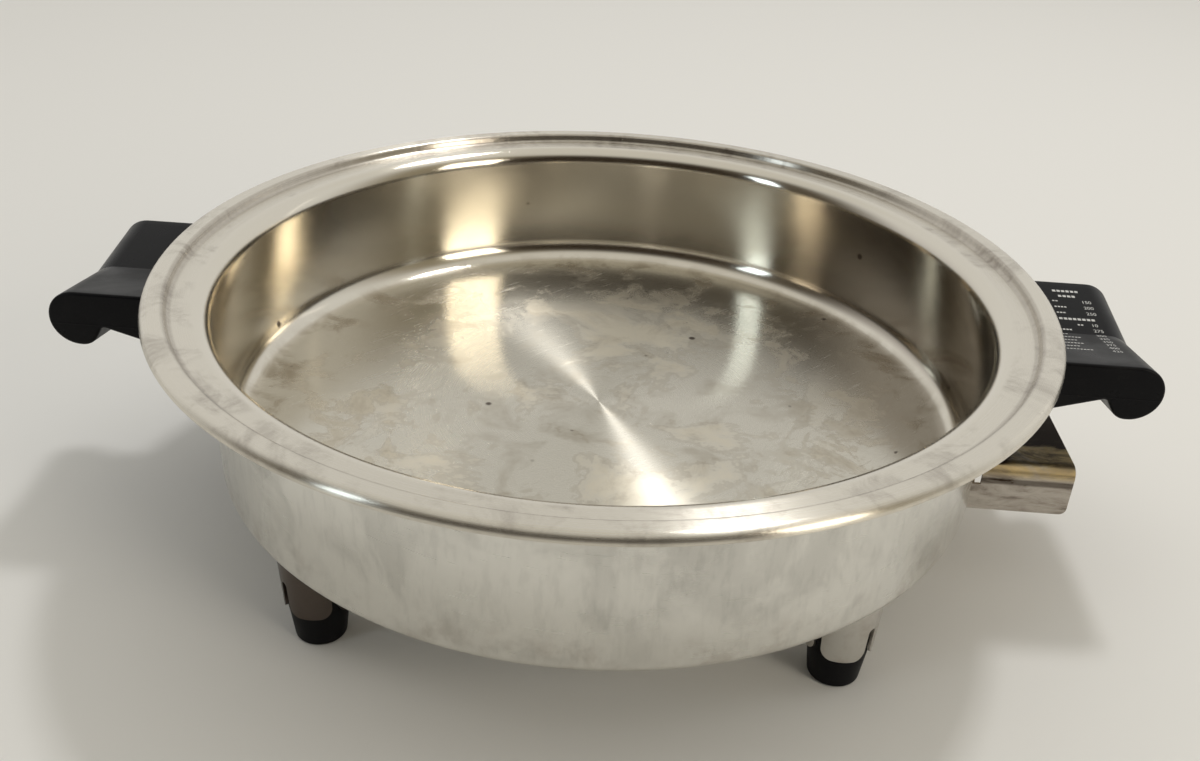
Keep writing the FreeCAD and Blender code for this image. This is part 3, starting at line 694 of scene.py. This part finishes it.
@dataclass
class Handle:
    """A moulded handle with a V-shaped top and a rolled grip, in millimetres."""

    side: Side
    top: float = 93.5
    crease: float = 5.4
    half_width: float = 34.5
    wall_radius: float = 142.3
    grip: float = 185.5
    grip_radius: float = 10.4
    heel: float = 3.8
    neck: float = 177.0
    neck_thickness: float = 13.1
    root: float = 138.0
    root_thickness: float = 24.9
    root_slope: float = 0.3026
    edge: float = 1.2
    ridge_half: float = 0.25
    screws: tuple[Point2, ...] = ((156.5, 12.0), (156.5, -12.0))
    screw_seat: float = 74.0
    recess_radius: float = 4.1
    recess_depth: float = 20.0
    sharp: float = 32.0

    def profile(self) -> list[Point2]:
        """The side view at the ears, without the two points at the wall."""
        end = self.grip + self.grip_radius
        low = self.top - self.grip_radius * 2
        corners = [
            (self.root, self.top, 0), (end, self.top, self.grip_radius - 0.1),
            (end, low, self.grip_radius - 0.1),
            (self.grip - self.heel, low, self.grip_radius * 0.6),
            (self.neck, self.top - self.neck_thickness, 2.0),
            (self.root, self.top - self.root_thickness, 0)]
        return sampled(corners, 5.0)

    def stations(self) -> list[float]:
        """Where the side view is repeated across the handle, closest at its rounded edges."""
        half = [-self.half_width + self.edge * (1 - math.cos(math.radians(turn)))
                for turn in range(0, 91, 15)]
        half += [-self.half_width + self.edge
                 + (self.half_width - self.edge - self.ridge_half) * part / 12
                 for part in range(1, 13)]
        return half + [0.0] + [-station for station in reversed(half)]

    def build(self, material: bpy.types.Material) -> bpy.types.Object:
        """Make the handle.

        Args:
            material: its finish.

        Returns:
            The handle.
        """
        outline = self.profile()
        count = len(outline)
        stations = self.stations()
        vertices = []
        for station in stations:
            past = max(0.0, abs(station) - (self.half_width - self.edge))
            inset = self.edge - math.sqrt(max(0.0, self.edge ** 2 - past ** 2))
            drop = self.crease * (1 - abs(station) / self.half_width)
            wall = math.sqrt(self.wall_radius ** 2 - station ** 2)
            for index, (x, z) in enumerate(outline):
                before = Vector(outline[index - 1])
                after = Vector(outline[(index + 1) % count])
                along = (after - before).normalized()
                inward = Vector((along.y, -along.x)) * (0 if index in (0, count - 1) else inset)
                if index == 0:
                    x, z = wall, z - inset
                elif index == count - 1:
                    x, z = wall, z + inset + (wall - self.root) * self.root_slope
                else:
                    x, z = x + inward.x, z + inward.y
                vertices.append((x * self.side.value, station * self.side.value, z - drop))
        faces = [(row * count + index, row * count + (index + 1) % count,
                  (row + 1) * count + (index + 1) % count, (row + 1) * count + index)
                 for row in range(len(stations) - 1) for index in range(count)]
        faces.append(tuple(range(count)))
        faces.append(tuple(range((len(stations) - 1) * count, len(stations) * count)))
        name = f"handle_{self.side.name.lower()}_moulding"
        return self.drilled(shown(name, vertices, faces, material, self.sharp))

    def drilled(self, made: bpy.types.Object) -> bpy.types.Object:
        """Sink the screw recesses into the underside."""
        for index, (x, y) in enumerate(self.screws):
            cutter = bmesh.new()
            middle = Vector((x * self.side.value, y, self.screw_seat - self.recess_depth / 2))
            radius = self.recess_radius * MM
            bmesh.ops.create_cone(cutter, cap_ends=True, segments=32, radius1=radius,
                                  radius2=radius, depth=self.recess_depth * MM,
                                  matrix=Matrix.Translation(middle * MM))
            mesh = bpy.data.meshes.new(f"recess_{index}")
            cutter.to_mesh(mesh)
            cutter.free()
            tool = bpy.data.objects.new(f"recess_{index}", mesh)
            bpy.context.collection.objects.link(tool)
            hole = made.modifiers.new("recess", "BOOLEAN")
            hole.object = tool
            hole.operation = "DIFFERENCE"
            hole.solver = "EXACT"
            applied(made)
            bpy.data.objects.remove(tool)
            bpy.data.meshes.remove(mesh)
        smooth(made, self.sharp)
        return made


@dataclass(frozen=True)
class Dash:
    """The dashes that a printed line is made of, in millimetres."""

    pitch: float
    length: float
    width: float


@dataclass
class Guide:
    """The printed cooking guide on the right handle: generic bars and numbers.

    A row is (y, x, length, number) and a heading is (y, x, length), in millimetres.
    """

    handle: Handle
    lift: float = 0.03
    heading_dash: Dash = Dash(1.7, 1.25, 1.3)
    row_dash: Dash = Dash(1.2, 0.85, 0.75)
    row_rise: float = 0.35
    number_start: float = 181.0
    number_size: float = 2.5
    rows: tuple[tuple[float, float, float, str], ...] = (
        (20.0, 170.0, 3.0, "150"), (16.2, 170.0, 5.0, "200"), (12.4, 170.0, 4.0, "250"),
        (5.0, 176.0, 3.0, "10"), (1.6, 165.0, 8.0, "275"), (-1.8, 165.0, 6.5, "300"),
        (-5.2, 165.0, 9.0, "325"), (-8.6, 165.0, 7.0, "350"), (-12.0, 165.0, 8.5, "375"),
        (-15.4, 165.0, 6.0, "400"), (-18.8, 165.0, 9.5, "425"))
    headings: tuple[tuple[float, float, float], ...] = ((27.0, 171.5, 10.0), (23.6, 173.0, 7.0),
                                                         (8.6, 170.0, 14.0))

    def surface(self, x: float, y: float) -> Vector:
        """A point just above the handle's top, in millimetres."""
        drop = self.handle.crease * (1 - abs(y) / self.handle.half_width)
        return Vector((x, y, self.handle.top - drop + self.lift))

    def stroke(self, x: float, y: float, length: float, width: float) -> list[Vector]:
        """The four corners of a printed bar, laid on the handle's top."""
        return [self.surface(x, y), self.surface(x + length, y),
                self.surface(x + length, y + width), self.surface(x, y + width)]

    def line(self, x: float, y: float, length: float, dash: Dash) -> list[list[Vector]]:
        """A printed line of dashes."""
        return [self.stroke(x + index * dash.pitch, y, dash.length, dash.width)
                for index in range(round(length / dash.pitch))]

    def number(self, text: str, x: float, y: float, size: float) -> list[list[Vector]]:
        """A printed number as flat faces on the handle's top."""
        curve = bpy.data.curves.new("number", "FONT")
        curve.body = text
        curve.size = size
        holder = bpy.data.objects.new("number", curve)
        bpy.context.collection.objects.link(holder)
        bpy.context.view_layer.update()
        mesh = bpy.data.meshes.new_from_object(holder.evaluated_get(
            bpy.context.evaluated_depsgraph_get()))
        faces = [[self.surface(x + mesh.vertices[index].co.x, y + mesh.vertices[index].co.y)
                  for index in polygon.vertices] for polygon in mesh.polygons]
        bpy.data.objects.remove(holder)
        bpy.data.meshes.remove(mesh)
        bpy.data.curves.remove(curve)
        return faces

    def build(self, material: bpy.types.Material) -> bpy.types.Object:
        """Make every bar and number as one piece.

        Args:
            material: the ink.

        Returns:
            The print.
        """
        shapes: list[list[Vector]] = []
        for y, x, length in self.headings:
            shapes += self.line(x, y, length, self.heading_dash)
        for y, x, length, text in self.rows:
            shapes += self.line(x, y + self.row_rise, length, self.row_dash)
            shapes += self.number(text, self.number_start, y, self.number_size)
        vertices = [tuple(corner) for shape in shapes for corner in shape]
        faces = []
        start = 0
        for shape in shapes:
            faces.append(range(start, start + len(shape)))
            start += len(shape)
        return shown("printed_guide", vertices, faces, material)


@dataclass
class Legs:
    """Four slotted ferrules and moulded feet, repeated by Geometry Nodes; millimetres."""

    spacing: Point2 = (175.16, 183.94)
    top: float = 36.0
    end: float = 13.7
    top_radius: float = 12.6
    top_corner: float = 1.2
    end_radius: float = 11.4
    sheet: float = 1.0
    slot_half: float = 1.4
    slot_top: float = 26.5
    petal_corner: float = 4.0
    hole: float = 2.6
    foot_top: float = 35.0
    # the foot's radius at its top, at the ferrule's end and at the ground
    foot_radii: tuple[float, float, float] = (11.2, 10.2, 8.6)
    nut_radius: float = 5.4
    nut_depth: float = 12.0

    def gap(self, z: float) -> float:
        """Half of the slot's width at a height."""
        if z >= self.slot_top:
            return 0.0
        crown = self.slot_top - self.slot_half
        if z > crown:
            return math.sqrt(self.slot_half ** 2 - (z - crown) ** 2)
        over = self.petal_corner - (z - self.end)
        if over > 0:
            curve = math.sqrt(self.petal_corner ** 2 - over ** 2)
            return self.slot_half + self.petal_corner - curve
        return self.slot_half

    def ferrule(self, material: bpy.types.Material) -> bpy.types.Object:
        """One ferrule at the middle, as a sheet that is then given its thickness."""
        corner = self.top_corner
        flat = self.top_radius - corner
        rows = [(self.hole, self.top), (7.0, self.top), (flat, self.top)]
        rows += [(flat + corner * math.sin(math.radians(turn)),
                  self.top - corner + corner * math.cos(math.radians(turn)))
                 for turn in range(15, 91, 15)]
        crown = self.slot_top - self.slot_half
        heights = [33.0, 30.0, self.slot_top + 0.6]
        heights += [crown + self.slot_half * math.cos(math.radians(turn))
                    for turn in range(0, 91, 10)]
        heights += [21.0, 19.0, self.end + self.petal_corner]
        heights += [self.end + self.petal_corner * (1 - math.sin(math.radians(turn)))
                    for turn in range(10, 90, 8)]
        heights += [self.end + 0.02]
        slope = (self.top_radius - self.end_radius) / (self.top - self.end)
        rows += [(self.end_radius + (height - self.end) * slope, height) for height in heights]
        columns = 17
        vertices = []
        for radius, height in rows:
            for petal in range(4):
                shrink = self.gap(height) / radius if radius > self.end_radius - 0.1 else 0.0
                for column in range(columns):
                    share = column / (columns - 1) * 2 - 1
                    angle = petal * math.pi / 2 + share * (math.pi / 4 - shrink)
                    vertices.append((radius * math.cos(angle), radius * math.sin(angle), height))
        faces = []
        wide = columns * 4
        for row in range(len(rows) - 1):
            for petal in range(4):
                for column in range(columns - 1):
                    start = row * wide + petal * columns + column
                    faces.append((start, start + 1, start + wide + 1, start + wide))
        made = shown("ferrule_pattern", vertices, faces, material, 50.0)
        solid = made.modifiers.new("sheet", "SOLIDIFY")
        solid.thickness = self.sheet * MM
        solid.offset = -1.0
        return applied(made)

    def foot(self, material: bpy.types.Material) -> bpy.types.Object:
        """One foot at the middle."""
        wide, middle, narrow = self.foot_radii
        outline = sampled([
            (self.hole, self.foot_top, 0), (wide, self.foot_top, 1.0), (middle, self.end, 0.5),
            (narrow, 0.0, 1.4), (self.nut_radius, 0.0, 0.5), (self.nut_radius, self.nut_depth, 0),
            (self.hole, self.nut_depth, 0)])
        return turned("foot_pattern", outline, material, 64)

    def repeated(self, pattern: bpy.types.Object, name: str,
                 material: bpy.types.Material) -> bpy.types.Object:
        """Set a pattern at the four corners with a Geometry Nodes tree.

        Args:
            pattern: the piece at the middle; it is removed.
            name: the result's name.
            material: the finish.

        Returns:
            One plain mesh of all four.
        """
        tree = bpy.data.node_groups.new(name + "_corners", "GeometryNodeTree")
        sockets = {}
        for label, kind in (("Geometry", "NodeSocketGeometry"), ("Spacing X", "NodeSocketFloat"),
                            ("Spacing Y", "NodeSocketFloat"), ("Pattern", "NodeSocketObject"),
                            ("Material", "NodeSocketMaterial")):
            sockets[label] = tree.interface.new_socket(label, in_out="INPUT", socket_type=kind)
        tree.interface.new_socket("Geometry", in_out="OUTPUT", socket_type="NodeSocketGeometry")
        given = tree.nodes.new("NodeGroupInput")
        grid = tree.nodes.new("GeometryNodeMeshGrid")
        grid.inputs["Vertices X"].default_value = 2
        grid.inputs["Vertices Y"].default_value = 2
        info = tree.nodes.new("GeometryNodeObjectInfo")
        instance = tree.nodes.new("GeometryNodeInstanceOnPoints")
        real = tree.nodes.new("GeometryNodeRealizeInstances")
        paint = tree.nodes.new("GeometryNodeSetMaterial")
        result = tree.nodes.new("NodeGroupOutput")
        link = tree.links.new
        link(given.outputs["Spacing X"], grid.inputs["Size X"])
        link(given.outputs["Spacing Y"], grid.inputs["Size Y"])
        link(given.outputs["Pattern"], info.inputs["Object"])
        link(grid.outputs["Mesh"], instance.inputs["Points"])
        link(info.outputs["Geometry"], instance.inputs["Instance"])
        link(instance.outputs["Instances"], real.inputs["Geometry"])
        link(real.outputs["Geometry"], paint.inputs["Geometry"])
        link(given.outputs["Material"], paint.inputs["Material"])
        link(paint.outputs["Geometry"], result.inputs["Geometry"])
        holder = bpy.data.objects.new(name, bpy.data.meshes.new(name))
        bpy.context.collection.objects.link(holder)
        spread = holder.modifiers.new("corners", "NODES")
        spread.node_group = tree
        spread[sockets["Spacing X"].identifier] = self.spacing[0] * MM
        spread[sockets["Spacing Y"].identifier] = self.spacing[1] * MM
        spread[sockets["Pattern"].identifier] = pattern
        spread[sockets["Material"].identifier] = material
        applied(holder)
        bpy.data.objects.remove(pattern)
        smooth(holder, 40.0)
        return holder

    def build(self) -> None:
        """Make the four ferrules and the four feet."""
        places = ("front_right", "front_left", "back_right", "back_left")
        # the ferrules on the left are darkened by painted shade
        steel = WallSteel("ferrule_steel", colour=(0.62, 0.60, 0.56), roughness=0.22,
                          painted_left_shade=0.9).build()
        black = Phenolic("foot_phenolic", roughness=0.42).build()
        ferrules = self.repeated(self.ferrule(steel), "ferrules", steel)
        settled(ferrules, "ferrule_steel", *[f"leg_ferrule_{place}" for place in places])
        feet = self.repeated(self.foot(black), "feet", black)
        settled(feet, "foot_phenolic", *[f"foot_{place}" for place in places])


# Studio

@dataclass(frozen=True)
class PhotoCamera:
    """The photograph's camera, solved from the pan's ellipses; millimetres and degrees."""

    place: tuple[float, float, float] = (16.17, -398.67, 281.02)
    turn: float = 2.322
    tilt: float = 60.343
    roll: float = 2.976
    lens: float = 35.59
    sensor: float = 36.0
    nearest: float = 10.0

    def build(self) -> None:
        """Make the camera and set it as the scene's."""
        data = bpy.data.cameras.new("photo_camera")
        data.lens = self.lens
        data.sensor_width = self.sensor
        data.clip_start = self.nearest * MM
        made = bpy.data.objects.new("photo_camera", data)
        bpy.context.collection.objects.link(made)
        made.matrix_world = (Matrix.Translation(Vector(self.place) * MM)
                             @ Matrix.Rotation(math.radians(self.turn), 4, "Z")
                             @ Matrix.Rotation(math.radians(self.tilt), 4, "X")
                             @ Matrix.Rotation(math.radians(self.roll), 4, "Z"))
        bpy.context.scene.camera = made


@dataclass(frozen=True)
class Lamp:
    """A soft rectangular lamp, in metres and watts."""

    name: str
    place: tuple[float, float, float]
    aim: tuple[float, float, float]
    size: Point2
    power: float
    colour: Colour = (1.0, 1.0, 1.0)

    def build(self) -> None:
        """Make the lamp."""
        data = bpy.data.lights.new(self.name, "AREA")
        data.shape = "RECTANGLE"
        data.size, data.size_y = self.size
        data.energy = self.power
        data.color = self.colour
        made = bpy.data.objects.new(self.name, data)
        bpy.context.collection.objects.link(made)
        made.location = self.place
        way = Vector(self.aim) - Vector(self.place)
        made.rotation_euler = way.to_track_quat("-Z", "Y").to_euler()


@dataclass
class Studio:
    """A pale floor and backdrop under soft lamps."""

    floor_half: float = 3.0
    floor_colour: Colour = (0.80, 0.79, 0.765)
    backdrop: Colour = (0.82, 0.81, 0.78)
    dark_room: Colour = (0.030, 0.020, 0.012)
    left_room: Colour = (0.13, 0.11, 0.08)
    right_room: Colour = (0.30, 0.26, 0.18)
    ceiling: Colour = (0.74, 0.72, 0.66)
    lamps: list[Lamp] = field(default_factory=lambda: [
        Lamp("ceiling_lamp", (0.42, 0.70, 1.83), (0.0, 0.0, 0.05), (0.22, 0.22), 9.0),
        Lamp("window_lamp", (1.46, -1.14, 0.86), (0.0, 0.0, 0.06), (0.62, 0.9), 10.5,
             (1.0, 0.93, 0.80)),
        Lamp("side_lamp", (-1.52, -1.16, 0.86), (0.0, 0.0, 0.06), (0.28, 0.9), 3.4,
             (0.80, 0.92, 1.0)),
        Lamp("corner_lamp", (1.62, 1.0, 0.86), (0.0, 0.0, 0.06), (0.12, 0.9), 0.12,
             (1.0, 0.95, 0.84)),
    ])

    def build(self) -> None:
        """Make the floor, the world and the lamps."""
        self.floor()
        self.world()
        for lamp in self.lamps:
            lamp.build()
        bpy.context.scene.view_settings.view_transform = "Standard"

    def floor(self) -> None:
        """Lay the floor."""
        g = Graph("studio_floor")
        shader = g.node("ShaderNodeBsdfPrincipled", None, {"Base Color": self.floor_colour,
                                                           "Roughness": 0.9})
        g.node("ShaderNodeOutputMaterial", None, {"Surface": shader.outputs[0]})
        half = self.floor_half
        corners = [(-half, -half, 0.0), (half, -half, 0.0), (half, half, 0.0), (-half, half, 0.0)]
        made = shown("studio_floor", corners, [(0, 1, 2, 3)], g.material, scale=1.0)

    def world(self) -> None:
        """Light from all round: a pale wall behind, a dim room in front and a pale ceiling.

        The camera itself sees only the pale backdrop.
        """
        world = bpy.data.worlds.new("studio")
        world.use_nodes = True
        bpy.context.scene.world = world
        g = Graph.over(world.node_tree)
        camera = Signal(g, g.node("ShaderNodeLightPath").outputs["Is Camera Ray"])
        across, along, up = g.split("Generated")
        sides = g.blend(across.rises(-0.3, 0.3), self.left_room, self.right_room)
        seen = g.blend(along.rises(-0.35, 0.35), sides, self.backdrop)
        seen = g.blend((-along).rises(0.35, 0.80), seen, self.dark_room)
        seen = g.blend(up.rises(0.68, 0.92), seen, self.ceiling)
        tone = g.blend(camera, seen, self.backdrop)
        light = g.node("ShaderNodeBackground", None, {"Color": tone, "Strength": 1.0})
        g.node("ShaderNodeOutputWorld", None, {"Surface": light.outputs[0]})


def small_pieces() -> None:
    """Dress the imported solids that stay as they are."""
    dressed("probe_guard", TintedSteel().build())
    dressed("terminal_bushes", Ceramic().build())
    metals = (
        (PlainMetal("cast_aluminium", (0.62, 0.62, 0.62), (0.4, 0.4, 0.4)), ("heat_spreader",)),
        (PlainMetal("sheath_steel", (0.40, 0.37, 0.33), (0.16, 0.12, 0.09), roughness=0.35),
         ("heating_element", "sensor_well")),
        (PlainMetal("pin_nickel", (0.66, 0.64, 0.58), (0.3, 0.26, 0.2), roughness=0.22),
         ("contact_pins",)),
        (PlainMetal("bracket_steel", (0.5, 0.5, 0.5), (0.3, 0.28, 0.25), roughness=0.35),
         ("handle_bracket_right", "handle_bracket_left")),
        (PlainMetal("screw_steel", (0.56, 0.55, 0.52), (0.25, 0.2, 0.15)),
         ("handle_screws", "foot_studs", "foot_nuts")),
    )
    for metal, nodes in metals:
        material = metal.build()
        for node in nodes:
            dressed(node, material)


def main() -> None:
    """Build every sub-assembly in order."""
    logging.basicConfig(level=logging.INFO, format="%(name)s: %(message)s")
    PhotoCamera().build()
    Vessel().build()
    black = Phenolic("handle_phenolic", mould_line=81.2).build()
    right = Handle(Side.RIGHT)
    left = Handle(Side.LEFT)
    settled(right.build(black), "handle_phenolic", "handle_right")
    settled(left.build(black), "handle_phenolic", "handle_left")
    settled(Guide(right).build(Printed().build()), "handle_phenolic")
    Legs().build()
    small_pieces()
    Studio().build()


if __name__ == "__main__":
    main()
